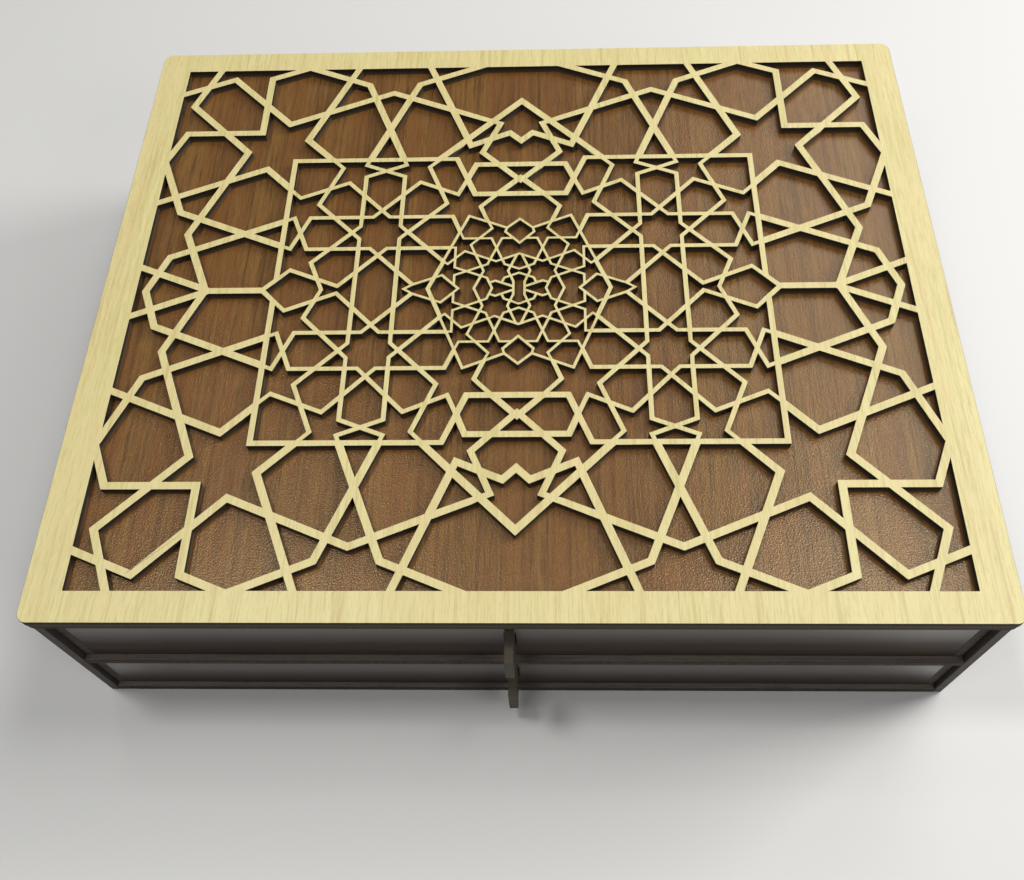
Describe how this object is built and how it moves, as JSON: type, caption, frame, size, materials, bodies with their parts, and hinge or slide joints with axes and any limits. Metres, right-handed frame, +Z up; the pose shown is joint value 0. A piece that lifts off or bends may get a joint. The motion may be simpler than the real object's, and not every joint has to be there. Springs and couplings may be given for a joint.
{
  "type": "prayer bead box",
  "caption": "Shallow rectangular wooden box with a pierced star-lattice lid over a darker panel, and stacked drawers with upright plate pulls.",
  "frame": {"origin": "centre of the bottom plate's underside, midway between the carcass's front and back", "axes": "+X to the right as seen from the drawers, +Y towards the back panel, +Z up; drawers face -Y"},
  "size_m": [0.3, 0.2571, 0.074],
  "materials": {
    "light_wood": "satin, pale straight grain",
    "walnut": "satin, medium brown with fine straight grain",
    "dark_board": "satin, very dark brown",
    "pull_board": "satin, dark brown with browned cut edges"
  },
  "bodies": {
    "carcass": {"lattice_overlay": "light_wood", "top_plate": "walnut", "mid_shelf": "dark_board", "bottom_plate": "dark_board", "side_board_left": "dark_board", "side_board_right": "dark_board", "back_panel": "dark_board"},
    "upper_drawer": {"upper_drawer_front": "dark_board", "upper_drawer_pull": "pull_board", "upper_drawer_side_left": "dark_board", "upper_drawer_side_right": "dark_board", "upper_drawer_back": "dark_board", "upper_drawer_bottom": "dark_board"},
    "lower_drawer": {"lower_drawer_front": "dark_board", "lower_drawer_pull": "pull_board", "lower_drawer_side_left": "dark_board", "lower_drawer_side_right": "dark_board", "lower_drawer_back": "dark_board", "lower_drawer_bottom": "dark_board"}
  },
  "joints": [
    {"name": "upper_drawer_slide", "type": "slide", "parent": "carcass", "child": "upper_drawer", "axis": [0, -1, 0], "range_m": [0, 0.2]},
    {"name": "lower_drawer_slide", "type": "slide", "parent": "carcass", "child": "lower_drawer", "axis": [0, -1, 0], "range_m": [0, 0.2]}
  ]
}
